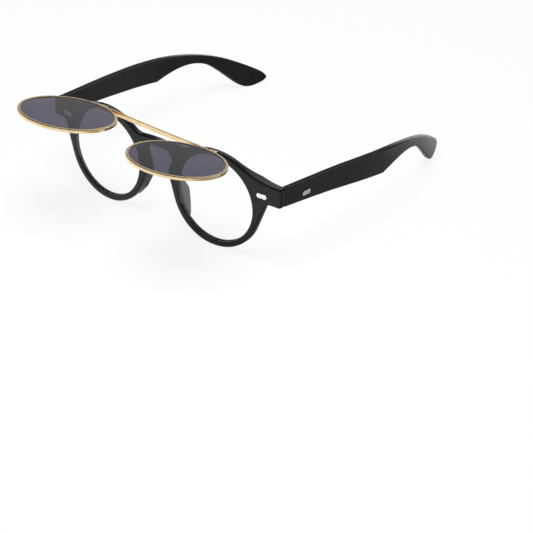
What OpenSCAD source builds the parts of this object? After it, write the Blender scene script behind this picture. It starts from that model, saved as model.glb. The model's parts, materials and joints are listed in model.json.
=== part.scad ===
// Flip up sunglasses: a round keyhole frame with clear lenses, two folding
// temples, and a gold clip of two tinted lenses that flips up on the brow.
// Drawn as it stands: temples open, clip raised, rims and temple tips on Z = 0.
// X runs to the right as the viewer sees it, the front faces -Y.

/* [Front] */
// Distance between the two lens centres
lens_gap = 68; // [64:0.5:72]
// Outer radius of each round rim
rim_r = 25.1; // [24.6:0.1:26]
// Radius of the opening that shows the clear lens
opening_r = 22; // [20.5:0.1:22.4]
// Thickness of the front, front to back
front_t = 3.6; // [3.2:0.1:4.4]
// Distance from a lens centre out to the end of the front
end_out = 37.5; // [36.5:0.1:39.5]
// Radius of the gentle curve that the front follows round the face
face_r = 600; // [450:10:1200]
// Height of the brow above the lens centre
brow_top = 25.3; // [24.9:0.1:26.2]
// Radius of the arc of each brow
brow_r = 31.3; // [29:0.1:34]
// Height of the top of an end piece above the lens centre
end_top = 16.9; // [15.9:0.1:17.9]
// Height of the bottom of an end piece above the lens centre
end_bottom = 6.8; // [6:0.1:7.4]
// Distance from the front of the bridge to the seam with the temples
seam_y = 8; // [7.6:0.1:9]
// Width of the flat back of the solid block behind each end piece
block_w = 13.8; // [13.6:0.1:14.4]
// Length over which the inner side of that block slants forward to the brow
block_slant = 8; // [6:0.5:9]

/* [Bridge] */
// Height of the middle of the bridge above the lens centre
bridge_top = 19.6; // [18.6:0.1:20.6]
// Radius of the arch along the top of the bridge
arch_r = 66; // [50:1:90]
// Half the width of the keyhole at its widest
key_half = 8; // [7.4:0.1:8.4]
// Radius of the keyhole's upper corners
key_r = 4.4; // [3.8:0.1:4.8]
// Half the width of the neck under the keyhole
neck_half = 6.1; // [5.6:0.1:6.6]
// Height of the neck above the lens centre
neck_z = 4.8; // [4:0.1:5.6]

/* [Clear lenses] */
// Thickness of a clear lens
lens_t = 1.6; // [1.2:0.1:2]
// Depth that a clear lens sits in the groove of its rim
lens_bite = 0.6; // [0.4:0.05:0.8]

/* [Temples] */
// Length of a temple from the seam to its tip, measured along it
temple_len = 144.5; // [136:0.5:152]
// Thickness of a temple, side to side
temple_t = 3.6; // [3.4:0.1:4.4]
// Angle that the straight part of a temple spreads outwards
splay = 3.3; // [2:0.1:4]
// Radius of the inward curve round the back of the head
ear_r = 200; // [180:5:240]
// Diameter of the stiffening wire inside a temple
core_d = 1.3; // [1:0.1:1.6]
// Length of the stiffening wire
core_len = 44; // [36:1:46]
// Angle at which the stiffening wire falls towards the heel of the temple
core_fall = 7.4; // [6:0.1:8.5]

/* [Temple hinges] */
// Height of a hinge over its three knuckles
hinge_h = 6.4; // [6:0.1:6.8]
// Height of the middle of a hinge above the lens centre
hinge_rise = 10.3; // [10:0.1:10.8]
// Outer radius of a knuckle
knuckle_r = 1.7; // [1.5:0.05:1.8]
// Distance from the seam back to the hinge axis
hinge_back = 2.4; // [2.2:0.1:3]
// Diameter of the hinge screw
hinge_screw_d = 1.4; // [1.2:0.1:1.6]
// Thickness of the hinge plates that are sunk into the plastic
plate_t = 1; // [0.8:0.05:1.2]
// Thickness of the plastic skin over a hinge plate
plate_skin = 0.6; // [0.5:0.05:0.8]
// Distance from the seam back to the rear end of the plate on a temple
temple_plate_to = 19; // [18.4:0.1:22]

/* [Rivets] */
// Length of a rivet plaque from point to point
plaque_l = 5.8; // [4.8:0.1:6.2]
// Height of a rivet plaque
plaque_h = 2.4; // [2:0.1:3]
// Distance from the end of the front to the centre of its plaque
front_plaque_in = 10.4; // [10.2:0.05:11]
// Distance from the seam to the centre of the plaque on a temple
temple_plaque_back = 14.3; // [14:0.1:15.5]

/* [Clip] */
// Outer radius of a clip ring
ring_r = 23.85; // [23.2:0.05:24.4]
// Width of the ring's band, seen from the front
ring_w = 1.4; // [1.3:0.05:1.6]
// Depth of the ring's band, front to back
ring_d = 1.8; // [1.6:0.05:2.2]
// Thickness of a tinted lens
tint_t = 1.2; // [1:0.05:1.3]
// Height of the brow bar
bar_h = 1.2; // [1:0.05:1.5]
// Depth of the brow bar, front to back
bar_d = 2; // [1.8:0.05:2.2]
// How far the middle of the brow bar dips below its ends
bar_dip = 0.8; // [0.4:0.1:1.2]
// Angle round the ring from its top to the lock that closes it
lock_angle = 11; // [10:0.5:13]
// Diameter of the screw that closes the ring
rim_screw_d = 0.7; // [0.6:0.05:0.7]

/* [Flip hinges] */
// Height of the pivot above the top of a lowered ring
pivot_rise = 1.35; // [1.2:0.05:1.6]
// Distance from the front of the bridge forward to the pivot
pivot_out = 1.9; // [1.7:0.1:2.4]
// Distance from the pivot forward to the front face of a lowered ring
ring_ahead = 2.6; // [2.5:0.05:2.9]
// Angle above level at which the raised clip stands
raise_angle = 11.3; // [0:0.1:25]
// Width of a flip hinge over its two ears
flip_w = 3.6; // [3.4:0.1:4.2]
// Diameter of the pivot pin
pin_d = 0.9; // [0.8:0.05:1]
// Diameter of the screw that holds the bracket to the brow
bracket_screw_d = 1; // [0.8:0.05:1]
// Diameter of the small screw that sets how stiffly the clip turns
friction_screw_d = 0.7; // [0.6:0.05:0.8]

/* [Hidden] */

// Roundness of turned pieces, and of the wide curve of the front
$fn = 96;
wide_fn = 720;
// Overshoot of a cutting tool past a face
over = 1;
// Clearance of a piece in its seat, of a turning pin, and of faces that pass
seat_gap = 0.03;
run_gap = 0.05;
side_gap = 0.15;
seam_gap = 0.2;

// Half the distance between the lens centres, and half the front's width
eye_x = lens_gap / 2;
half_w = eye_x + end_out;
front_w = 2 * half_w;
// The rims stand on small flats at Z = 0, so the lens centres lie almost one rim radius up
rest_flat = 0.05;
lens_z = rim_r - rest_flat;
front_h = lens_z + brow_top;

// Depth that the blocks reach below the end pieces, into the cheeks of the rims
block_drop = 0.4;

// Fillets and corners of the front's outline
bridge_fillet = 8;
end_fillet = 45;
corner_r = 1.5;
cheek_fillet = 2.6;
cheek_angle = 20;
nose_r = 4.5;

// Front and back surface of the front at a distance x from its middle
function front_y(x) = face_r - sqrt(face_r * face_r - x * x);
function back_y(x) = face_r - sqrt((face_r - front_t) * (face_r - front_t) - x * x);
function face_turn(x) = asin(x / face_r);

// Points on circles
function on_circle(c, r, a) = [c[0] + r * cos(a), c[1] + r * sin(a)];
function arc(c, r, a, b, n) = [for (i = [0:n]) on_circle(c, r, a + (b - a) * i / n)];
function toward(c, d) = atan2(d[1] - c[1], d[0] - c[0]);

// The point that lies ra from a and rb from b, on the upper side of a to b
function meet(a, ra, b, rb) =
    let (d = norm(b - a), s = (ra * ra - rb * rb + d * d) / (2 * d), h = sqrt(ra * ra - s * s))
    [
        a[0] + (s * (b[0] - a[0]) - h * (b[1] - a[1])) / d,
        a[1] + (s * (b[1] - a[1]) + h * (b[0] - a[0])) / d
    ];

// A smooth curve through points, with n steps between neighbours
function blend(p, q, r, s, t) =
    0.5 * (2 * q + (r - p) * t + (2 * p - 5 * q + 4 * r - s) * t * t + (3 * q - p - 3 * r + s) * t * t * t);
function smooth(p, n) = [
    for (i = [0:len(p) - 2])
        for (j = [0:i == len(p) - 2 ? n : n - 1])
            blend(p[max(i - 1, 0)], p[i], p[i + 1], p[min(i + 2, len(p) - 1)], j / n)
];
function reversed(p) = [for (i = [len(p) - 1:-1:0]) p[i]];

// Centres of the arcs in the right half of the front's outline, lens centre at height 0
rim_c = [eye_x, 0];
brow_c = [eye_x, brow_top - brow_r];
arch_c = [0, bridge_top - arch_r];
bridge_c = meet(arch_c, arch_r + bridge_fillet, brow_c, brow_r + bridge_fillet);
end_cz = end_top + end_fillet;
end_reach = brow_r + end_fillet;
end_c = [eye_x + sqrt(end_reach * end_reach - pow(end_cz - brow_c[1], 2)), end_cz];
cheek_cz = end_bottom - cheek_fillet;
cheek_c = [eye_x + (rim_r + cheek_fillet + cheek_cz * sin(cheek_angle)) / cos(cheek_angle), cheek_cz];
nose_c = [neck_half + nose_r, neck_z];
key_x = key_half - key_r;
key_c = [key_x, neck_z + sqrt(pow(key_r + nose_r, 2) - pow(nose_c[0] - key_x, 2))];
flank_angle = toward(nose_c, rim_c) - acos((nose_r - rim_r) / norm(rim_c - nose_c));

right_half = concat(
    arc(arch_c, arch_r, 90, toward(arch_c, bridge_c), 4),
    arc(bridge_c, bridge_fillet, toward(bridge_c, arch_c) + 360, toward(bridge_c, brow_c) + 360, 6),
    arc(brow_c, brow_r, toward(brow_c, bridge_c), toward(brow_c, end_c), 14),
    arc(end_c, end_fillet, toward(end_c, brow_c), -90, 8),
    arc([half_w - corner_r, end_top - corner_r], corner_r, 90, 0, 4),
    arc([half_w - corner_r, end_bottom + corner_r], corner_r, 0, -90, 4),
    arc(cheek_c, cheek_fillet, 90, 180 - cheek_angle, 5),
    arc(rim_c, rim_r, -cheek_angle, flank_angle, 32),
    arc(nose_c, nose_r, flank_angle + 360, toward(nose_c, key_c), 7),
    arc(key_c, key_r, toward(key_c, nose_c), 90, 9)
);
outline = concat(right_half, [for (p = reversed(right_half)) [-p[0], p[1]]]);

// Temple side view: distance back from the seam, height above the table
drawn_len = 144.5;
drawn_top = 41.4;
top_edge = [
    [0, 41.4], [32, 38.8], [50, 36.9], [66, 34.8], [82, 32.3], [96, 29.1], [108, 25.4],
    [120, 20.4], [130, 14.9], [137, 10.6], [142, 7], [144.5, 3.8]
];
heel_edge = [[0, 31.8], [33, 27.6], [74, 20.9]];
ear_edge = [
    [74, 20.9], [80, 22.2], [88, 23.4], [95, 23.6], [101, 22.8], [107, 20.8], [112, 17.8], [117.5, 13.2],
    [123, 8.1], [128, 3.4], [131.5, 0.9], [135, 0], [138.5, 0.4], [142.5, 1.7], [144.5, 3.8]
];
root_top = lens_z + end_top - 0.5;
function side_point(p) = [p[0] * temple_len / drawn_len, max(0, p[1] * root_top / drawn_top)];
side_view = [
    for (p = concat(smooth(top_edge, 4), reversed(smooth(ear_edge, 4)), reversed(smooth(heel_edge, 3))))
        side_point(p)
];
bent_share = 0.626;
bent_len = bent_share * temple_len;
straight_len = temple_len - bent_len;
ear_turn = asin(bent_len / (ear_r - temple_t)) + 2;
ear_c = [temple_t - ear_r, straight_len];
plan_view = concat(
    [[0, 0], [temple_t, temple_t * tan(splay)]],
    arc(ear_c, ear_r, 0, ear_turn, 16),
    arc(ear_c, ear_r - temple_t, ear_turn, 0, 16)
);

// Temple hinge
hinge_z = lens_z + hinge_rise;
knuckle_clear = 0.2;
hinge_x = half_w - temple_t - knuckle_r - knuckle_clear;
hinge_y = seam_y + hinge_back;
knuckle_gap = 0.1;
knuckle_h = (hinge_h - 2 * knuckle_gap) / 3;
web_half = 1.5;

// Rivets
plaque_t = 0.4;
plaque_point = 0.75;
plaque_notch = 0.55;
plaque_dent = 0.3;
rivet_d = 1.2;
rivet_pitch = 3.2;
front_plaque_x = half_w - front_plaque_in;
front_plaque_z = lens_z + 10.9;
temple_plaque_z = lens_z + 9.4;

// Hinge plates and the head of the hinge screw
front_plate_x = front_plaque_x - rivet_pitch / 2 - 1.25;
front_plate_end = hinge_x + web_half;
front_plate_back = seam_y - plate_skin;
temple_plate_from = hinge_back - seam_gap - web_half - 0.1;
temple_plate_h = hinge_h - 1.2;
temple_plate_t = plate_t - 0.1;
screw_head_t = 0.6;
screw_head_r = hinge_screw_d / 2 + 0.45;
screw_slot = 0.3;

// Stiffening wire, from just behind the hinge plate
core_end_gap = 0.2;
core_from = temple_plate_to + 3 * core_end_gap;
core_z = hinge_z - 1.2;

// Clip, drawn lowered in front of the front: places and sizes of its pieces
pivot_z = lens_z + ring_r + pivot_rise;
pivot_y = -pivot_out;
ring_front = pivot_y - ring_ahead;
ring_back = ring_front + ring_d;
ring_mid = (ring_front + ring_back) / 2;
tint_bite = 0.42;
tint_r = ring_r - ring_w + tint_bite;
ear_t = 0.55;
ear_lobe = 1.1;
ear_front_angle = 115;
ear_back_angle = -35;
leaf_sunk = 0.35;
leaf_t = 0.25;
leaf_rise = 0.7;

// Lock of a ring: two ends that lap over each other, and the screw through them
lock_half = 1.5;
lock_step = 0.1;
lock_in = 0.3;
lock_out = 1.05;
lock_slit = 0.12;
lock_lap = 0.95;
rim_head_r = rim_screw_d / 2 + 0.15;
rim_head_t = 0.4;
rim_head_seat = ring_front + rim_head_t;
rim_head_sunk = 0.05;
rim_slot = 0.2;
rim_slot_t = 0.1;
rim_screw_at = ring_r - 0.3;

// Brow bar, bent to an arc that dips at its middle
bar_end_z = lens_z + 23.5;
bar_half = eye_x - 5.5;
bar_r = bar_half * bar_half / (2 * bar_dip) + bar_dip / 2;

// Bracket that carries the pivot on the brow
foot_t = 0.9;
bracket_w = flip_w - 2 * ear_t - 2 * side_gap;
bracket_lip = 0.85;
neck_half_h = 0.75;
bracket_screw_z = lens_z + (opening_r + lens_bite + brow_top) / 2;
bracket_bite = 0.6;
bracket_head_d = bracket_screw_d + 0.6;
bracket_head_t = 0.5;
head_seat_y = back_y(eye_x) - bracket_head_t;
screw_tip_y = front_y(eye_x) - bracket_bite;
friction_slot = 0.16;
friction_slot_t = 0.18;

// Reach of the whole object to the front and back, to centre it on Y = 0
raised_low = ring_r + pivot_rise + ring_r;
reach_front = pivot_out + raised_low * cos(raise_angle) - (ring_ahead - ring_d) * sin(raise_angle);
tip_x = ear_c[0] + sqrt(pow(ear_r - temple_t, 2) - bent_len * bent_len);
reach_back = seam_y + seam_gap + temple_len * cos(splay) - tip_x * sin(splay);
shift_y = (reach_front - reach_back) / 2;

// Places a right-hand piece on its own side
module on_side(right) {
    translate([0, shift_y, 0])
        if (right)
            children();
        else
            mirror([1, 0, 0]) children();
}

// Turns the lowered clip up about its pivots
module raised() {
    translate([0, pivot_y, pivot_z])
        rotate([-90 - raise_angle, 0, 0])
            translate([0, -pivot_y, -pivot_z])
                children();
}

// Upright plane: draws x and height as seen from the front, from y = a to y = b
module upright(a, b) {
    translate([0, b, 0])
        rotate([90, 0, 0])
            linear_extrude(b - a)
                children();
}

// A round bar along Y
module rod_y(x, z, r, a, b) {
    translate([x, b, z])
        rotate([90, 0, 0])
            cylinder(r = r, h = b - a);
}

// A ring or disc round the lens axis of a lowered clip, from y = a to y = b
module disc(r, a, b) {
    rod_y(eye_x, lens_z, r, a, b);
}

// The same, through the whole depth of the ring
module disc_through(r) {
    disc(r, ring_front - over, ring_back + over);
}

// The space behind the front's forward surface, grown by extra
module behind_front(extra) {
    translate([0, face_r, -over])
        cylinder(r = face_r + extra, h = front_h + 2 * over, $fn = wide_fn);
}

// Works in the tilted plane of a clear lens, whose axis is Z
module at_lens() {
    translate([eye_x, (front_y(eye_x) + back_y(eye_x)) / 2, lens_z])
        rotate([0, 0, face_turn(eye_x)])
            rotate([90, 0, 0])
                children();
}

module lens_seat() {
    at_lens() {
        translate([0, 0, -seam_y])
            cylinder(r = opening_r, h = seam_y + front_t);
        translate([0, 0, -lens_t / 2 - seat_gap])
            cylinder(r = opening_r + lens_bite, h = lens_t + 2 * seat_gap);
    }
}

module frame_front() {
    color("#17171b")
        translate([0, shift_y, 0])
            difference() {
                intersection() {
                    upright(-over, seam_y)
                        translate([0, lens_z])
                            polygon(outline);
                    behind_front(0);
                    union() {
                        difference() {
                            translate([-half_w - over, -over, 0])
                                cube([front_w + 2 * over, seam_y + 2 * over, front_h]);
                            behind_front(-front_t);
                        }
                        for (turn = [0, 1])
                            mirror([turn, 0, 0])
                                translate([0, 0, lens_z + end_bottom - block_drop])
                                    linear_extrude(end_top)
                                        block_plan();
                    }
                }
                for (turn = [0, 1])
                    mirror([turn, 0, 0])
                        front_cuts();
            }
}

// Plan of the solid block behind an end piece, which slants forward to the back of the brow
module block_plan() {
    flat_x = half_w - block_w;
    thin_x = flat_x - block_slant;
    polygon([[thin_x, 0], [thin_x, back_y(thin_x)], [flat_x, seam_y], [half_w + over, seam_y], [half_w + over, 0]]);
}

// Everything that is cut from the right half of the front
module front_cuts() {
    lens_seat();
    front_plate(seat_gap);
    for (z = front_knuckle_places())
        front_web(z, seat_gap);
    for (x = rivet_places())
        rod_y(x, front_plaque_z, rivet_d / 2 + seat_gap, -over, front_plate_back);
    rod_y(eye_x, bracket_screw_z, bracket_screw_d / 2 + seat_gap, -over, seam_y);
    rod_y(eye_x, bracket_screw_z, bracket_head_d / 2 + seat_gap, head_seat_y, seam_y);
}

function rivet_places() = [front_plaque_x - rivet_pitch / 2, front_plaque_x + rivet_pitch / 2];

module clear_lens(right) {
    color("#e8f0f4", 0.4)
        on_side(right)
            at_lens()
                translate([0, 0, -lens_t / 2])
                    cylinder(r = opening_r + lens_bite - seat_gap, h = lens_t);
}

// Moulded pad behind the nose side of a rim: out from the lens centre, back, up, radius
pad_balls = [[-24.6, 4.4, 2, 1.8], [-22.4, 7, -5, 2.5], [-20.4, 6.2, -11, 2.2], [-18, 4.6, -15.5, 1.5]];

module nose_pad(right) {
    color("#2a2a31")
        on_side(right)
            intersection() {
                behind_front(-front_t - seat_gap);
                translate([eye_x, 0, lens_z])
                    hull()
                        for (b = pad_balls)
                            translate([b[0], b[1], b[2]])
                                sphere(r = b[3], $fn = 32);
            }
}

// Pointed plaque with a notch at the middle of each long side
module plaque_shape() {
    tip = plaque_l / 2;
    turn = tip - plaque_point;
    top = plaque_h / 2;
    n = plaque_notch;
    upper = [[-tip, 0], [-turn, top], [-n, top], [0, top - plaque_dent], [n, top], [turn, top], [tip, 0]];
    polygon(concat(upper, [for (i = [len(upper) - 2:-1:1]) [upper[i][0], -upper[i][1]]]));
}

module front_rivet(right) {
    color("#c9ccd1")
        on_side(right) {
            translate([front_plaque_x, front_y(front_plaque_x), front_plaque_z])
                rotate([0, 0, face_turn(front_plaque_x)])
                    upright(-plaque_t, 0)
                        plaque_shape();
            for (x = rivet_places())
                rod_y(x, front_plaque_z, rivet_d / 2, front_y(x) - plaque_t / 2, front_plate_back);
        }
}

// The plate sunk behind the seam face of an end piece, grown by gap
module front_plate(gap) {
    long = front_plate_end - front_plate_x;
    translate([front_plate_x - gap, front_plate_back - plate_t - gap, hinge_z - hinge_h / 2 - gap])
        cube([long + 2 * gap, plate_t + 2 * gap, hinge_h + 2 * gap]);
}

function front_knuckle_places() = [hinge_z - hinge_h / 2, hinge_z + hinge_h / 2 - knuckle_h];

// The web that joins the front's plate to a knuckle, grown by gap
module front_web(z, gap) {
    translate([hinge_x - web_half - gap, front_plate_back - plate_t / 2, z - gap])
        cube([2 * (web_half + gap), hinge_back + plate_skin + plate_t / 2, knuckle_h + 2 * gap]);
}

// One hinge knuckle of height h on the hinge axis
module knuckle(z, h) {
    translate([hinge_x, hinge_y, z])
        cylinder(r = knuckle_r, h = h);
}

module front_hinge(right) {
    color("#b9bcc2")
        on_side(right)
            difference() {
                union() {
                    front_plate(0);
                    for (z = front_knuckle_places()) {
                        knuckle(z, knuckle_h);
                        front_web(z, 0);
                    }
                }
                translate([hinge_x, hinge_y, hinge_z - hinge_h])
                    cylinder(d = hinge_screw_d, h = 2 * hinge_h);
                for (x = rivet_places())
                    rod_y(x, front_plaque_z, rivet_d / 2 + seat_gap, 0, seam_y);
            }
}

module hinge_screw(right) {
    color("#9a9da3")
        on_side(right)
            translate([hinge_x, hinge_y, hinge_z - hinge_h / 2])
                difference() {
                    union() {
                        cylinder(r = hinge_screw_d / 2 - seat_gap, h = hinge_h + screw_head_t / 2);
                        translate([0, 0, hinge_h + seat_gap])
                            cylinder(r = screw_head_r, h = screw_head_t);
                    }
                    translate([-screw_slot / 2, -screw_head_r - over, hinge_h + seat_gap + screw_head_t / 2])
                        cube([screw_slot, 2 * (screw_head_r + over), screw_head_t]);
                }
}

// Works along a temple: X out through its thickness, Y back from the seam
module along_temple() {
    translate([half_w - temple_t, seam_y + seam_gap, 0])
        rotate([0, 0, -splay])
            children();
}

// Draws distance back and height, from x = a to x = b
module sideways(a, b) {
    translate([a, 0, 0])
        rotate([90, 0, 90])
            linear_extrude(b - a)
                children();
}

// The plate sunk under the inner face of a temple, grown by gap
module temple_plate(gap) {
    translate([plate_skin - gap, temple_plate_from - gap, hinge_z - temple_plate_h / 2 - gap])
        cube([
            temple_plate_t + 2 * gap,
            temple_plate_to - temple_plate_from + 2 * gap,
            temple_plate_h + 2 * gap
        ]);
}

// The stiffening wire, grown by r and lengthened by extra at both ends
module core_rod(r, extra) {
    translate([temple_t / 2, core_from - extra, core_z])
        rotate([-90 - core_fall, 0, 0])
            cylinder(r = r, h = core_len + 2 * extra);
}

function temple_rivet_places() = [temple_plaque_back - rivet_pitch / 2, temple_plaque_back + rivet_pitch / 2];

module temple_rivet_rods(r, a, b) {
    for (y = temple_rivet_places())
        translate([a, y, temple_plaque_z])
            rotate([0, 90, 0])
                cylinder(r = r, h = b - a);
}

module temple(right) {
    color("#17171b")
        on_side(right)
            along_temple()
                difference() {
                    intersection() {
                        translate([0, 0, -over])
                            linear_extrude(front_h)
                                polygon(plan_view);
                        sideways(-half_w, half_w)
                            polygon(side_view);
                    }
                    temple_plate(seat_gap);
                    temple_web(seat_gap);
                    core_rod(core_d / 2 + seat_gap, core_end_gap);
                    temple_rivet_rods(rivet_d / 2 + seat_gap, plate_skin, temple_t + over);
                }
}

module temple_core(right) {
    color("#9a9da3")
        on_side(right)
            along_temple()
                core_rod(core_d / 2, 0);
}

// The web that joins a temple's plate to its knuckle, grown by gap
module temple_web(gap) {
    start = -knuckle_r - knuckle_clear;
    reach = plate_skin + temple_plate_t / 2 - start;
    translate([start, hinge_back - seam_gap - web_half - gap, hinge_z - knuckle_h / 2 - gap])
        cube([reach, 2 * (web_half + gap), knuckle_h + 2 * gap]);
}

module temple_hinge(right) {
    color("#b9bcc2")
        on_side(right)
            difference() {
                union() {
                    along_temple() {
                        temple_plate(0);
                        temple_web(0);
                    }
                    knuckle(hinge_z - knuckle_h / 2, knuckle_h);
                }
                translate([hinge_x, hinge_y, hinge_z - hinge_h])
                    cylinder(r = hinge_screw_d / 2 + run_gap, h = 2 * hinge_h);
                along_temple()
                    temple_rivet_rods(rivet_d / 2 + seat_gap, 0, temple_t);
            }
}

module temple_rivet(right) {
    color("#c9ccd1")
        on_side(right)
            along_temple() {
                translate([0, temple_plaque_back, temple_plaque_z])
                    sideways(temple_t, temple_t + plaque_t)
                        plaque_shape();
                temple_rivet_rods(rivet_d / 2, plate_skin, temple_t + plaque_t / 2);
            }
}

// The fixed half of a flip hinge: a foot on the brow and a middle knuckle
module flip_bracket(right) {
    foot_low = bracket_screw_z - bracket_lip;
    foot_high = pivot_z + bracket_lip;
    color("#d9b36a")
        on_side(right)
            difference() {
                union() {
                    translate([eye_x, front_y(eye_x), foot_low])
                        rotate([0, 0, face_turn(eye_x)])
                            translate([-flip_w / 2, -foot_t, 0])
                                cube([flip_w, foot_t - seat_gap, foot_high - foot_low]);
                    translate([eye_x - bracket_w / 2, pivot_y, pivot_z - neck_half_h])
                        cube([bracket_w, pivot_out + front_y(eye_x) - foot_t / 2, 2 * neck_half_h]);
                    translate([eye_x - bracket_w / 2, pivot_y, pivot_z])
                        rotate([0, 90, 0])
                            cylinder(r = ear_lobe, h = bracket_w);
                }
                translate([eye_x - flip_w, pivot_y, pivot_z])
                    rotate([0, 90, 0])
                        cylinder(r = pin_d / 2 + run_gap, h = 2 * flip_w);
                rod_y(eye_x, bracket_screw_z, bracket_screw_d / 2 + seat_gap, screw_tip_y - seat_gap, seam_y);
                rod_y(eye_x, pivot_z, friction_screw_d / 2 + seat_gap, pivot_y - 2 * ear_lobe, pivot_y);
            }
}

module bracket_screw(right) {
    color("#9a9da3")
        on_side(right) {
            rod_y(eye_x, bracket_screw_z, bracket_screw_d / 2, screw_tip_y, back_y(eye_x) - seat_gap);
            rod_y(eye_x, bracket_screw_z, bracket_head_d / 2, head_seat_y + seat_gap, back_y(eye_x));
        }
}

module friction_screw(right) {
    front = pivot_y - ear_lobe;
    color("#9a9da3")
        on_side(right)
            difference() {
                rod_y(eye_x, pivot_z, friction_screw_d / 2, front, pivot_y - pin_d / 2 - run_gap);
                translate([eye_x - friction_slot / 2, front - over, pivot_z - friction_screw_d])
                    cube([friction_slot, over + friction_slot_t, 2 * friction_screw_d]);
            }
}

// Works at the lock of a ring: Z out along the radius, X along the ring, Y back
module at_lock() {
    translate([eye_x, 0, lens_z])
        rotate([0, -lock_angle, 0])
            children();
}

module lock_block(gap) {
    at_lock()
        translate([-lock_half - gap, ring_front + lock_step - gap, ring_r - ring_w + lock_in])
            cube([
                2 * (lock_half + gap),
                ring_d - 2 * (lock_step - gap),
                ring_w - lock_in + lock_out + gap
            ]);
}

// The slit that lets the ring's two ends lap over each other
module lap_slit() {
    low = ring_r - 2 * ring_w;
    long = 4 * ring_w;
    at_lock() {
        translate([-lock_lap - lock_slit / 2, ring_front - over, low])
            cube([lock_slit, over + ring_d / 2 + lock_slit / 2, long]);
        translate([lock_lap - lock_slit / 2, ring_mid - lock_slit / 2, low])
            cube([lock_slit, ring_d, long]);
        translate([-lock_lap - lock_slit / 2, ring_mid - lock_slit / 2, low])
            cube([2 * lock_lap + lock_slit, lock_slit, long]);
    }
}

module flip_rim(right) {
    color("#d9b36a")
        on_side(right)
            raised()
                difference() {
                    union() {
                        disc(ring_r, ring_front, ring_back);
                        lock_block(0);
                    }
                    disc_through(ring_r - ring_w);
                    tint_disc(seat_gap);
                    lap_slit();
                    at_lock() {
                        rod_y(0, rim_screw_at, rim_screw_d / 2 + seat_gap, ring_front, ring_back + over);
                        rod_y(0, rim_screw_at, rim_head_r + seat_gap, ring_front - over, rim_head_seat);
                    }
                }
}

// The tinted lens, grown all round by gap
module tint_disc(gap) {
    disc(tint_r + gap, ring_mid - tint_t / 2 - gap, ring_mid + tint_t / 2 + gap);
}

module sun_lens(right) {
    color("#5b5568", 0.75)
        on_side(right)
            raised()
                tint_disc(0);
}

module rim_screw(right) {
    head_front = ring_front + rim_head_sunk;
    color("#9a9da3")
        on_side(right)
            raised()
                at_lock()
                    difference() {
                        union() {
                            rod_y(0, rim_screw_at, rim_screw_d / 2, head_front, ring_back - lock_step);
                            rod_y(0, rim_screw_at, rim_head_r, head_front, rim_head_seat - seat_gap);
                        }
                        translate([-rim_slot / 2, head_front - over, rim_screw_at - 2 * rim_head_r])
                            cube([rim_slot, over + rim_slot_t, 4 * rim_head_r]);
                    }
}

// The moving half of a flip hinge: a base on the ring and two ears
module flip_leaf(right) {
    low = -pivot_rise - leaf_sunk;
    back = ring_d - ring_ahead;
    ear = [
        [-ring_ahead, low],
        [-ring_ahead, -pivot_rise + leaf_rise],
        on_circle([0, 0], ear_lobe, ear_front_angle),
        on_circle([0, 0], ear_lobe, ear_back_angle),
        [back, low]
    ];
    color("#d9b36a")
        on_side(right)
            raised()
                difference() {
                    union() {
                        for (x = [eye_x - flip_w / 2, eye_x + flip_w / 2 - ear_t])
                            translate([x, pivot_y, pivot_z])
                                rotate([90, 0, 90]) {
                                    linear_extrude(ear_t)
                                        polygon(ear);
                                    cylinder(r = ear_lobe, h = ear_t);
                                }
                        translate([eye_x - flip_w / 2, ring_front, lens_z + ring_r - leaf_sunk])
                            cube([flip_w, ring_d, leaf_sunk + leaf_t]);
                    }
                    disc_through(ring_r + seat_gap);
                    translate([eye_x - flip_w, pivot_y, pivot_z])
                        rotate([0, 90, 0])
                            cylinder(r = pin_d / 2, h = 2 * flip_w);
                }
}

module flip_pin(right) {
    proud = 0.1;
    color("#c9ccd1")
        on_side(right)
            raised()
                translate([eye_x - flip_w / 2 - proud, pivot_y, pivot_z])
                    rotate([0, 90, 0])
                        cylinder(r = pin_d / 2, h = flip_w + 2 * proud);
}

// Wide disc whose rim is the bar's middle line, grown by extra
module bar_disc(extra, half) {
    low_z = bar_end_z - bar_dip;
    rod_y(0, low_z + bar_r, bar_r + extra, ring_mid - half, ring_mid + half, $fn = wide_fn);
}

module brow_bar() {
    low_z = bar_end_z - bar_dip;
    color("#d9b36a")
        on_side(true)
            raised()
                difference() {
                    intersection() {
                        bar_disc(bar_h / 2, bar_d / 2);
                        translate([-bar_half, ring_mid - bar_d, low_z - 2 * bar_h])
                            cube([2 * bar_half, 2 * bar_d, 3 * bar_h + bar_dip]);
                    }
                    bar_disc(-bar_h / 2, bar_d);
                    for (turn = [0, 1])
                        mirror([turn, 0, 0]) {
                            lock_block(seat_gap);
                            disc_through(ring_r + seat_gap);
                        }
                }
}

frame_front();
clear_lens(false);  // clear_lens_left
clear_lens(true);  // clear_lens_right
nose_pad(false);  // nose_pad_left
nose_pad(true);  // nose_pad_right
front_rivet(false);  // front_rivet_left
front_rivet(true);  // front_rivet_right
front_hinge(false);  // front_hinge_left
front_hinge(true);  // front_hinge_right
hinge_screw(false);  // hinge_screw_left
hinge_screw(true);  // hinge_screw_right
flip_bracket(false);  // flip_bracket_left
flip_bracket(true);  // flip_bracket_right
bracket_screw(false);  // bracket_screw_left
bracket_screw(true);  // bracket_screw_right
friction_screw(false);  // friction_screw_left
friction_screw(true);  // friction_screw_right
temple(false);  // temple_left
temple(true);  // temple_right
temple_core(false);  // temple_core_left
temple_core(true);  // temple_core_right
temple_hinge(false);  // temple_hinge_left
temple_hinge(true);  // temple_hinge_right
temple_rivet(false);  // temple_rivet_left
temple_rivet(true);  // temple_rivet_right
flip_rim(false);  // flip_rim_left
flip_rim(true);  // flip_rim_right
sun_lens(false);  // sun_lens_left
sun_lens(true);  // sun_lens_right
rim_screw(false);  // rim_screw_left
rim_screw(true);  // rim_screw_right
flip_leaf(false);  // flip_leaf_left
flip_leaf(true);  // flip_leaf_right
flip_pin(false);  // flip_pin_left
flip_pin(true);  // flip_pin_right
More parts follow.
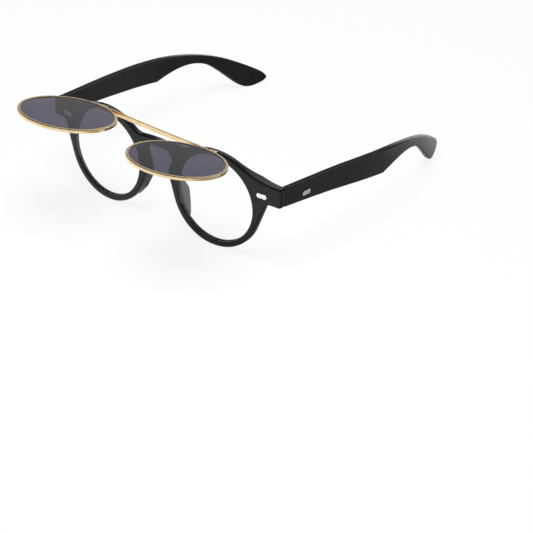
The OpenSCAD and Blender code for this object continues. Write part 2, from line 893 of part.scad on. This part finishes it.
brow_bar();
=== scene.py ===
# %% [markdown]
# # Flip up sunglasses
# A round black plastic frame stands open on a table, and a gold clip with two smoky lenses is flipped up from its brow.
# Every size and every joint comes from the CAD part, which is loaded here as a fixed frame.
# Blender adds what the CAD model leaves out: tumbled edges, polish, tint and light.

import json
import math

import bmesh
import bpy
from mathutils import Matrix, Vector

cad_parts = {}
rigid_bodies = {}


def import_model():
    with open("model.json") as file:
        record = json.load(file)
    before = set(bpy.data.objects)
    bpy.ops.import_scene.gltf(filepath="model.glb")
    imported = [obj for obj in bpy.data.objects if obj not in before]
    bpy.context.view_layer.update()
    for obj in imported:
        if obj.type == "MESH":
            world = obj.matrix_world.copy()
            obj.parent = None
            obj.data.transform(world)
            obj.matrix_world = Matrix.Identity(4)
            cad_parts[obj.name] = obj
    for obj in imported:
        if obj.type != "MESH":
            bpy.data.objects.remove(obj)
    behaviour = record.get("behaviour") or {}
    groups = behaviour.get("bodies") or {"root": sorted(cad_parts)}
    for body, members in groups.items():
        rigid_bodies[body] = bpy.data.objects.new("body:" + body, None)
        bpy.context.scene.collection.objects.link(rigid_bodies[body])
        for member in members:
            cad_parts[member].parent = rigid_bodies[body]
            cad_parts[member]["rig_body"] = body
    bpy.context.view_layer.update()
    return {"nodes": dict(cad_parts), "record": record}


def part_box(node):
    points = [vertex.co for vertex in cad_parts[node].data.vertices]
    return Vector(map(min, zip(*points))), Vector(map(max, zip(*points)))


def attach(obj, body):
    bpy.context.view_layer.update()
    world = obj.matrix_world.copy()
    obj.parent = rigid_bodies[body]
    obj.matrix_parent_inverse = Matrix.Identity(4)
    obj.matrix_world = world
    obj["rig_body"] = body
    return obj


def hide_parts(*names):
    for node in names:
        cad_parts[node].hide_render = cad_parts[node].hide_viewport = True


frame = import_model()
nodes = frame["nodes"]

# %% [markdown]
# ## Sizes
# The part is drawn in millimetres, with the middle of the bridge's front face as its zero.
# Blender works in metres in the row frame, so one small function turns the first into the second.
# The few sizes below are those that the softened pieces share with the CAD part.

# %% Shared sizes
MM = 0.001
FRONT_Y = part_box("frame_front")[0].y / MM  # where the bridge's front face lies in the row frame
LENS_Z = 25.05  # from the table up to the lens centres
EYE_X = 34.0  # from the middle of the bridge to each lens centre
SEAM_Y = 8.0  # from the front face back to the seam where the temples meet the front
FACE_R = 600.0  # radius of the curve of the whole front


def at(x, y, z):
    """A point in the row frame from millimetres right, back and up from the bridge and lens centre."""
    return Vector((x * MM, (y + FRONT_Y) * MM, (z + LENS_Z) * MM))


print("front face at y =", round(FRONT_Y, 2), "mm")

# %% [markdown]
# ## Node helpers
# A finish is a small chain of shader nodes. It could be wired by hand in the shader editor, but a script is easier to
# read and to repeat. These helpers add a node, set its inputs by name and join it to the next, so that each material
# below reads as a short recipe.

# %% Nodes and links
def new_material(name):
    mat = bpy.data.materials.new(name)
    mat.use_nodes = True
    mat.node_tree.nodes.clear()
    out = mat.node_tree.nodes.new("ShaderNodeOutputMaterial")
    return mat, out


def add(mat, kind, **inputs):
    """Adds a node to a material or world, and sets the inputs that are named."""
    node = mat.node_tree.nodes.new(kind)
    for key, value in inputs.items():
        node.inputs[key.replace("_", " ")].default_value = value
    return node


def join(mat, a, b):
    mat.node_tree.links.new(a, b)


def mixed(mat, share, first, second):
    """A shader that turns from the first into the second as the share goes from 0 to 1."""
    mix = add(mat, "ShaderNodeMixShader")
    for socket, source in zip(mix.inputs, (share, first, second)):
        join(mat, source, socket)
    return mix.outputs["Shader"]


print("nodes can be joined")

# %% [markdown]
# No real surface is the same all over. A noise that is fixed to the piece gives the change, and a ramp turns it into
# a colour or a roughness between two near values. Noise on Object coordinates moves with the piece when a joint turns.

# %% Uneven surfaces
def object_noise(mat, scale, detail=3.0, stretch=(1, 1, 1)):
    """Noise fixed to the piece, as values from 0 to 1."""
    coords = add(mat, "ShaderNodeTexCoord")
    mapping = add(mat, "ShaderNodeMapping", Scale=stretch)
    noise = add(mat, "ShaderNodeTexNoise", Scale=scale, Detail=detail)
    join(mat, coords.outputs["Object"], mapping.inputs["Vector"])
    join(mat, mapping.outputs["Vector"], noise.inputs["Vector"])
    return noise.outputs["Fac"]


def rgba(value):
    """A colour with full alpha, from three channels or from one grey."""
    return (*value, 1) if hasattr(value, "__len__") else (value, value, value, 1)


def ramp(mat, source, low, high, at_low=0.3, at_high=0.7):
    """Turns noise into a colour or grey between two values."""
    node = mat.node_tree.nodes.new("ShaderNodeValToRGB")
    ends = node.color_ramp.elements
    ends[0].position, ends[1].position = at_low, at_high
    ends[0].color, ends[1].color = rgba(low), rgba(high)
    join(mat, source, node.inputs["Fac"])
    return node.outputs["Color"]


def coated(mat, shell, tone, tones, polish, shine):
    """Colour between two tones, and roughness between a shiny and a dull one."""
    join(mat, ramp(mat, tone, *tones), shell.inputs["Base Color"])
    join(mat, ramp(mat, polish, *shine), shell.inputs["Roughness"])


def bumped(mat, shell, source, strength, height):
    """Bends the reflections as if the surface had dents of that height."""
    node = add(mat, "ShaderNodeBump", Strength=strength, Distance=height)
    join(mat, source, node.inputs["Height"])
    join(mat, node.outputs["Normal"], shell.inputs["Normal"])


print("surfaces can vary")

# %% [markdown]
# ## Black acetate
# The frame is cut from cellulose acetate sheet and tumbled until it shines. The black itself returns almost no light,
# so all that shows is the gloss of plain plastic: weak where the surface faces the eye, strong where it turns away, as
# at the ends of the temples. A paler black would look like rubber. A slow noise varies the colour, a fine one varies
# the polish, and a very weak bump bends the reflections a little.

# %% Black acetate
PLASTIC_IOR = 1.49

acetate, out = new_material("black_acetate")
shell = add(acetate, "ShaderNodeBsdfPrincipled", IOR=PLASTIC_IOR, Specular_IOR_Level=0.3)
slow = object_noise(acetate, scale=60, detail=2)
fine = object_noise(acetate, scale=900, detail=4)
blacks = (0.0035, 0.0034, 0.0045), (0.0065, 0.0062, 0.0085)
coated(acetate, shell, slow, blacks, fine, (0.14, 0.22))
bumped(acetate, shell, slow, strength=0.05, height=0.4 * MM)
join(acetate, shell.outputs["BSDF"], out.inputs["Surface"])
print(acetate.name)

# %% [markdown]
# ## Polished pale gold
# The clip and its hinges are stamped and soldered metal with a thin gold plating. Plating follows every small wave of
# the metal below, so the roughness changes along the wire, and fine scratches show close up. They come from a noise
# that is stretched along one direction.

# %% Pale gold
gold, out = new_material("pale_gold")
shell = add(gold, "ShaderNodeBsdfPrincipled", Metallic=1.0)
slow = object_noise(gold, scale=220)
scratches = object_noise(gold, scale=1500, detail=6, stretch=(1, 6, 1))
golds = (0.83, 0.62, 0.33), (0.94, 0.75, 0.46)
coated(gold, shell, slow, golds, scratches, (0.13, 0.27))
bumped(gold, shell, scratches, strength=0.04, height=0.1 * MM)
join(gold, shell.outputs["BSDF"], out.inputs["Surface"])
print(gold.name)

# %% [markdown]
# ## Silver rivets and steel fittings
# The plaques on the front and temples are nickel silver, polished like jewellery. The hinges and screws are plain steel
# with the fine grain of drawing and turning, so their noise is stretched too, and their steel is darker and duller.

# %% Silver and steel
silver, out = new_material("polished_silver")
shell = add(silver, "ShaderNodeBsdfPrincipled", Metallic=1.0)
grain = object_noise(silver, scale=1200, detail=5, stretch=(1, 1, 5))
coated(silver, shell, grain, ((0.84, 0.84, 0.82), (0.95, 0.95, 0.93)), grain, (0.16, 0.3))
join(silver, shell.outputs["BSDF"], out.inputs["Surface"])

steel, out = new_material("satin_steel")
shell = add(steel, "ShaderNodeBsdfPrincipled", Metallic=1.0)
grain = object_noise(steel, scale=900, detail=6, stretch=(1, 1, 8))
coated(steel, shell, grain, ((0.42, 0.42, 0.44), (0.62, 0.62, 0.64)), grain, (0.24, 0.42))
bumped(steel, shell, grain, strength=0.08, height=0.1 * MM)
join(steel, shell.outputs["BSDF"], out.inputs["Surface"])
print(silver.name, steel.name)

# %% [markdown]
# ## Nose pads
# The pads are the same plastic as the frame but smoky and a little see-through, so light enters at their thin edges.
# A small share of transmission with a soft grey gives that. Subsurface scattering would do it too, but it shows little
# on a piece this small.

# %% Smoky pads
pads, out = new_material("smoky_pads")
shell = add(pads, "ShaderNodeBsdfPrincipled", IOR=PLASTIC_IOR, Transmission_Weight=0.25)
slow = object_noise(pads, scale=180)
coated(pads, shell, slow, ((0.05, 0.05, 0.06), (0.09, 0.09, 0.1)), slow, (0.18, 0.3))
join(pads, shell.outputs["BSDF"], out.inputs["Surface"])
print(pads.name)

# %% [markdown]
# ## Lenses
# A plain transparent shader would have no gloss, so each lens is a solid disc that transmits light. Its base colour is
# what white paper looks like through it, and the gloss of its polished faces lies on top. Shadow rays pass straight
# through with a paler tint, because a real lens throws a soft coloured shadow, not a black one.

# %% Lens recipe
def lens_material(name, tones, shadow, smear_scale):
    mat, out = new_material(name)
    body = add(mat, "ShaderNodeBsdfPrincipled", IOR=1.5, Transmission_Weight=1.0)
    smear = object_noise(mat, smear_scale)
    coated(mat, body, smear, tones, smear, (0.0, 0.035))
    clear = add(mat, "ShaderNodeBsdfTransparent", Color=rgba(shadow))
    path = add(mat, "ShaderNodeLightPath")
    glass = mixed(mat, path.outputs["Is Shadow Ray"], body.outputs["BSDF"], clear.outputs["BSDF"])
    join(mat, glass, out.inputs["Surface"])
    return mat


clears = (0.985, 0.988, 0.99), (0.995, 0.997, 0.999)
smokes = (0.082, 0.07, 0.118), (0.096, 0.083, 0.137)
clear_lens = lens_material("clear_lens", clears, shadow=(0.97, 0.975, 0.98), smear_scale=40)
tinted_lens = lens_material("smoky_lens", smokes, shadow=(0.3, 0.28, 0.35), smear_scale=50)
print(clear_lens.name, tinted_lens.name)

# %% [markdown]
# ## Which piece gets which finish
# The record names a material slot for each CAD node. Each slot gets one finish here, and every node is painted by it.

# %% Paint the CAD nodes
finish_of = {
    "acetate": acetate,
    "pad_plastic": pads,
    "clear_lens": clear_lens,
    "tinted_lens": tinted_lens,
    "gold_metal": gold,
    "silver_metal": silver,
    "steel": steel,
}
slot_of = {s["node"]: s["material_slot"] for s in frame["record"]["subparts"]}
for name, obj in nodes.items():
    obj.data.materials.clear()
    obj.data.materials.append(finish_of[slot_of[name]])
print("painted", len(slot_of), "nodes")

# %% [markdown]
# ## Softened copies
# Some CAD nodes are too crisp to look real. A node itself is never changed, so a copy is worked on and stands for it.
# The node's mesh is loose triangles: its doubled corners are merged first, and triangles that lie in one plane become
# one face. The finished copy takes the node's material and slot, and moves with its body.

# %% Merged copy and its place
SAME_POINT = 0.002 * MM
SAME_PLANE = math.radians(0.6)


def merged(name):
    """The shape of a CAD node, in whole faces."""
    shape = bmesh.new()
    shape.from_mesh(nodes[name].data)
    bmesh.ops.remove_doubles(shape, verts=shape.verts, dist=SAME_POINT)
    bmesh.ops.dissolve_limit(shape, angle_limit=SAME_PLANE, verts=shape.verts, edges=shape.edges)
    return shape


def stand_in(name, shape):
    """The shape as a piece that is shown for the CAD node and rides like it."""
    for face in shape.faces:
        face.smooth = True
    mesh = bpy.data.meshes.new("soft_" + name)
    shape.to_mesh(mesh)
    shape.free()
    mesh.materials.append(finish_of[slot_of[name]])
    piece = bpy.data.objects.new("soft_" + name, mesh)
    bpy.context.scene.collection.objects.link(piece)
    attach(piece, nodes[name]["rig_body"])
    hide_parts(name)
    print(piece.name, len(mesh.polygons), "faces")
    return piece


print("copies can stand for nodes")

# %% [markdown]
# ## Tumbled edges
# Real frames lose their sharp corners in a drum of wooden chips, and plated wire is rounded before it is plated.
# Here a Bevel modifier does it, because each edge can carry a weight that makes its rounding narrower. Outer edges
# sharper than a set angle get a weight, and all others none. Splinters of edges, shorter than the rounding can span,
# are collapsed first. Clamping is off, because one short edge would otherwise stop the rounding everywhere.

# %% Edge tumbler
SPLINTER = 0.3 * MM
WELL_ROUNDED = 0.5  # a weight above which a splinter would tear the rounding


def tumbled(name, weight_of, width_mm, sharp_deg=35, segments=4):
    """Rounds a copy of a CAD node. weight_of turns the middle of an edge into its share of the width."""
    shape = merged(name)
    weight = shape.edges.layers.float.new("bevel_weight_edge")
    for edge in shape.edges:
        if edge.is_manifold and edge.is_convex and edge.calc_face_angle(0) > math.radians(sharp_deg):
            edge[weight] = weight_of((edge.verts[0].co + edge.verts[1].co) / 2)
    splinters = [edge for edge in shape.edges if edge[weight] > WELL_ROUNDED and edge.calc_length() < SPLINTER]
    bmesh.ops.collapse(shape, edges=splinters)
    piece = stand_in(name, shape)
    bevel = piece.modifiers.new("tumbled", "BEVEL")
    bevel.limit_method = "WEIGHT"
    bevel.width = width_mm * MM
    bevel.segments = segments
    bevel.use_clamp_overlap = False
    bevel.loop_slide = False
    even = piece.modifiers.new("even", "WEIGHTED_NORMAL")
    even.keep_sharp = True


print("edges can be tumbled")

# %% [markdown]
# Holes and grooves that only hold a fitting keep their cut edges, as on the real piece, where the metal covers them.
# A box around each fitting, a little larger than the fitting, tells which edges those are.

# %% Edges at fittings
AS_CUT = 0.0  # the weight of an edge that isn't rounded
FITTING_ROOM = 0.2 * MM


def boxes_of(*names):
    """The boxes of both the left and the right one of each named fitting."""
    return [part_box(name + "_" + side) for name in names for side in ("left", "right")]


def at_fitting(point, boxes):
    return any(
        all(low[i] - FITTING_ROOM <= point[i] <= high[i] + FITTING_ROOM for i in range(3))
        for low, high in boxes
    )


front_fittings = boxes_of("front_rivet", "bracket_screw", "front_hinge")
temple_fittings = boxes_of("temple_rivet", "temple_hinge")
clip_fittings = boxes_of("flip_leaf", "rim_screw", "flip_pin")
print("fittings on the front:", len(front_fittings), "temples:", len(temple_fittings), "clip:", len(clip_fittings))

# %% [markdown]
# The outline of the front is tumbled to about a millimetre, which reads as a soft line of light along the rims. The
# blocks behind its ends and the faces at the seam stay crisp, because the temples close against them. Each lens opening
# has a groove between two thin lips: the groove is left as cut, and the lips are rounded a little.

# %% Soft front
GROOVE_HALF = 0.95 * MM  # from the middle of a lens out to the edges of its groove, through its thickness
GROOVE_REACH = 23.0 * MM  # farthest from a lens centre that a groove's edge lies
LIP_REACH = 22.3 * MM  # the same for the lips
BLOCK_DEPTH = 3.7  # deeper than this behind the curved face are only the blocks for the hinges
ON_SEAM = 0.05 * MM  # an edge this close to the seam's plane lies in it
OUTLINE, LIP, CRISP = 0.85, 0.3, 0.15  # weights, as shares of the full width
LENS_TILT = math.asin(EYE_X / FACE_R)
lens_boxes = boxes_of("clear_lens")


def in_groove(point):
    """True on the groove edges: near a clear lens, measured through its thickness."""
    for low, high in lens_boxes:
        middle = (low + high) / 2
        through = Vector((math.copysign(math.sin(LENS_TILT), -middle.x), math.cos(LENS_TILT), 0))
        offset = point - middle
        if abs(offset.dot(through)) < GROOVE_HALF and offset.length < GROOVE_REACH:
            return True
    return False


def near_opening(point):
    """True on the two edges of a lens opening, whose lips are thin."""
    flat = [Vector((point.x - (low.x + high.x) / 2, 0, point.z - (low.z + high.z) / 2)) for low, high in lens_boxes]
    return min(offset.length for offset in flat) < LIP_REACH


def front_weight(point):
    if in_groove(point) or at_fitting(point, front_fittings):
        return AS_CUT
    if near_opening(point):
        return LIP
    x = abs(point.x) / MM
    depth = (point.y - at(0, 0, 0).y) / MM - x * x / (2 * FACE_R)
    if depth > BLOCK_DEPTH or abs(point.y - at(0, SEAM_Y, 0).y) < ON_SEAM:
        return CRISP
    return OUTLINE


tumbled("frame_front", front_weight, width_mm=1.2)

# %% [markdown]
# The temples are tumbled almost as much, for comfort over the ears. Where a temple meets the front at the seam, both
# stay crisp, so that the two ends close to a fine line.

# %% Soft temples
ROOT_Y = SEAM_Y + 0.2  # the temple starts this far behind the seam's plane


def temple_weight(point):
    if at_fitting(point, temple_fittings):
        return AS_CUT
    at_root = abs(point.y - at(0, ROOT_Y, 0).y) < ON_SEAM
    return CRISP if at_root else 1.0


for name in ("temple_left", "temple_right"):
    tumbled(name, temple_weight, width_mm=0.9, segments=5)

# %% [markdown]
# The clip is rolled wire and stamped strip. Its corners are rounded much less, but enough to catch a line of light. The
# groove that holds the lens leaves two thin lips on the inside of each ring, so those are rounded least. Only corners
# sharper than 50 degrees are rounded, so the facets of the small curves are left alone.

# %% Soft clip
RING_OUTSIDE = 23.3 * MM  # farther than this from the lens centre is the ring's outside
RING_LIP = 0.22
sun_middles = [(low + high) / 2 for low, high in boxes_of("sun_lens")]


def ring_weight(point):
    if at_fitting(point, clip_fittings):
        return AS_CUT
    reach = min((point - middle).length for middle in sun_middles)
    return 1.0 if reach > RING_OUTSIDE else RING_LIP


for name in ("flip_rim_left", "flip_rim_right"):
    tumbled(name, ring_weight, width_mm=0.5, sharp_deg=50, segments=6)
tumbled("brow_bar", lambda point: 1.0, width_mm=0.12, sharp_deg=50)

# %% [markdown]
# The nose pads are cast, with no sharp edge anywhere. Their CAD solids are coarse hulls. A bevel would only soften the
# seams between the flats, so the merged copies are smoothed all over by two levels of subdivision instead.

# %% Soft nose pads
for name in ("nose_pad_left", "nose_pad_right"):
    smooth = stand_in(name, merged(name)).modifiers.new("cast", "SUBSURF")
    smooth.levels = smooth.render_levels = 2

# %% [markdown]
# ## Paper
# The glasses stand on plain white paper. Lamps strong enough to make it white would bleach the object, so most of what
# the camera sees of it is a plain white glow, and the rest is matte paper that keeps a faint contact shadow.

# %% Paper and its glow
PAPER_GLOW = 0.87  # share of the glow where the paper is seen
MIRROR_GLOW = 0.1  # added to that in reflections


def maths(mat, operation, a, b, c=None):
    """A sum on numbers or on outputs of other nodes."""
    node = mat.node_tree.nodes.new("ShaderNodeMath")
    node.operation = operation
    for socket, value in zip(node.inputs, (a, b, c)):
        if hasattr(value, "is_output"):
            join(mat, value, socket)
        elif value is not None:
            socket.default_value = value
    return node.outputs[0]


paper, out = new_material("white_paper")
matte = add(paper, "ShaderNodeBsdfDiffuse")
tooth = object_noise(paper, scale=300, detail=2)
join(paper, ramp(paper, tooth, 0.88, 0.9), matte.inputs["Color"])
glow = add(paper, "ShaderNodeEmission", Color=rgba(1))
path = add(paper, "ShaderNodeLightPath")
seen = maths(paper, "MAXIMUM", path.outputs["Is Camera Ray"], path.outputs["Is Transmission Ray"])
seen = maths(paper, "MAXIMUM", seen, path.outputs["Is Glossy Ray"])
mirrored = maths(paper, "MULTIPLY", path.outputs["Is Glossy Ray"], path.outputs["Is Reflection Ray"])
share = maths(paper, "MULTIPLY_ADD", mirrored, MIRROR_GLOW, maths(paper, "MULTIPLY", seen, PAPER_GLOW))
join(paper, mixed(paper, share, matte.outputs["BSDF"], glow.outputs["Emission"]), out.inputs["Surface"])
print(paper.name)

# %% [markdown]
# Polished things mirror the same glow, but painted shade dims it beside and between the temples, where a real pair
# would keep the light off its own paper. This keeps the black plastic black. Light that is seen through a lens also
# counts as glossy, so Is Reflection Ray picks out what is really mirrored. The painted shade is a ramp along the
# glasses, a little aslant: it sets in under the front, holds under the temples and ends behind their tips.

# %% Painted shade on the paper in reflections
ASLANT = 0.35
RAMP_PER_METRE, RAMP_AT_ZERO = 3.3, 0.33
PAINTED_SHADE_DEPTH = 0.62
# Painted shade: how deeply the mirrored glow is dimmed at each stop of the ramp along the glasses.
painted_shade_stops = (0.1, 0.0), (0.24, PAINTED_SHADE_DEPTH), (0.7, PAINTED_SHADE_DEPTH), (0.85, 0.0)

place = add(paper, "ShaderNodeTexCoord")
split = add(paper, "ShaderNodeSeparateXYZ")
join(paper, place.outputs["Object"], split.inputs["Vector"])
along = maths(paper, "MULTIPLY_ADD", split.outputs["X"], ASLANT, split.outputs["Y"])
painted_shade_ramp = paper.node_tree.nodes.new("ShaderNodeValToRGB")
join(paper, maths(paper, "MULTIPLY_ADD", along, RAMP_PER_METRE, RAMP_AT_ZERO), painted_shade_ramp.inputs["Fac"])
for position, depth in painted_shade_stops:
    painted_shade_ramp.color_ramp.elements.new(position).color = rgba(depth)
for spare in (0, -1):
    painted_shade_ramp.color_ramp.elements.remove(painted_shade_ramp.color_ramp.elements[spare])
# The glow's strength: full, less the painted shade wherever the paper is mirrored.
level = maths(paper, "SUBTRACT", 1.0, maths(paper, "MULTIPLY", mirrored, painted_shade_ramp.outputs["Color"]))
join(paper, level, glow.inputs["Strength"])
print("dimming stops:", len(painted_shade_ramp.color_ramp.elements))

# %% [markdown]
# The sheet is one large square, so wide that no view shows its end. It lies a hair below the table's height, because
# two faces in one plane would flicker.

# %% Floor
FLOOR_HALF = 6  # metres
FLOOR_Z = -0.05 * MM

square = bmesh.new()
bmesh.ops.create_grid(square, x_segments=1, y_segments=1, size=FLOOR_HALF)
bmesh.ops.translate(square, verts=square.verts, vec=(0, 0, FLOOR_Z))
floor_mesh = bpy.data.meshes.new("floor")
square.to_mesh(floor_mesh)
square.free()
floor_mesh.materials.append(paper)
floor = bpy.data.objects.new("floor", floor_mesh)
bpy.context.scene.collection.objects.link(floor)
print("floor laid")

# %% [markdown]
# ## Light and air
# The world is a light tent: white cloth up to a little above the horizon, and dim higher up. Polished black plastic is
# drawn by what it mirrors, so the bright horizon outlines its edges and the dim sky leaves dark bands on them.

# %% World
world = bpy.data.worlds.new("tent")
bpy.context.scene.world = world
world.use_nodes = True
sky = world.node_tree.nodes["Background"]
compass = add(world, "ShaderNodeTexCoord")
split = add(world, "ShaderNodeSeparateXYZ")
join(world, compass.outputs["Generated"], split.inputs["Vector"])
cloth = ramp(world, split.outputs["Z"], low=1.0, high=0.1, at_low=0.1, at_high=0.215)
join(world, cloth, sky.inputs["Color"])
sky.inputs["Strength"].default_value = 1.0
print(world.name)

# %% [markdown]
# One lamp above gives most of the light and stays out of the reflections. A wide soft box behind draws the pale strip
# along the top of the brow. Both are area lamps, because a small hard lamp would leave a sharp shadow.

# %% Lamps
def soft_lamp(name, place, target, size, power, mirrored=True):
    data = bpy.data.lights.new(name, "AREA")
    data.shape = "RECTANGLE"
    data.size, data.size_y = size
    data.energy = power
    lamp = bpy.data.objects.new(name, data)
    bpy.context.scene.collection.objects.link(lamp)
    place = Vector(place)
    turn = (Vector(target) - place).to_track_quat("-Z", "Y")
    lamp.matrix_world = Matrix.Translation(place) @ turn.to_matrix().to_4x4()
    lamp.visible_glossy = mirrored


soft_lamp("top_lamp", (0.1, -0.25, 0.9), target=(0, 0, 0), size=(0.5, 0.5), power=9.0, mirrored=False)
soft_lamp("back_box", (-0.3, 0.88, 0.82), target=(0, 0, 0.03), size=(1.05, 0.55), power=2.0)
print("lamps:", len(bpy.data.lights))

# %% [markdown]
# ## Camera
# The photograph was taken with a long lens from the front right and above. The angle, distance and lens below were
# solved from the outlines of both rims, both rings and the temples, with a small roll of the camera.

# %% Camera
SENSOR = 36
PHOTO_PX = 533
FOCAL_PX = 2286.87  # the lens in pixels of the photograph


def camera_from(azimuth, elevation, roll, distance_mm, right_mm, up_mm):
    """A camera turned about the lens centres, whose picture is centred right and up of them."""
    a, e, t = map(math.radians, (azimuth, elevation, roll))
    away = Vector((math.sin(a) * math.cos(e), -math.cos(a) * math.cos(e), math.sin(e)))
    side = Vector((math.cos(a), math.sin(a), 0))
    lift = away.cross(side)
    across = side * math.cos(t) + lift * math.sin(t)
    upward = lift * math.cos(t) - side * math.sin(t)
    aim = at(*(side * right_mm + lift * up_mm))
    data = bpy.data.cameras.new("camera")
    data.sensor_width = SENSOR
    data.lens = SENSOR * FOCAL_PX / PHOTO_PX
    data.clip_start = 0.05
    data.clip_end = 50
    eye = bpy.data.objects.new("camera", data)
    bpy.context.scene.collection.objects.link(eye)
    turn = Matrix((across, upward, away)).transposed().to_4x4()
    eye.matrix_world = Matrix.Translation(aim + away * distance_mm * MM) @ turn
    return eye


camera = camera_from(azimuth=37.48, elevation=31.12, roll=2.19, distance_mm=1096.63, right_mm=53.79, up_mm=-41.14)
bpy.context.scene.camera = camera
bpy.context.scene.view_settings.view_transform = "Standard"
print("camera lens", round(camera.data.lens, 1), "mm")

# %% [markdown]
# ## Last update
# Softening an edge only takes material away, so the finished model has to stay inside the box of the CAD part. At the
# end the view layer is brought up to date.

# %% Update the view layer
bpy.context.view_layer.update()
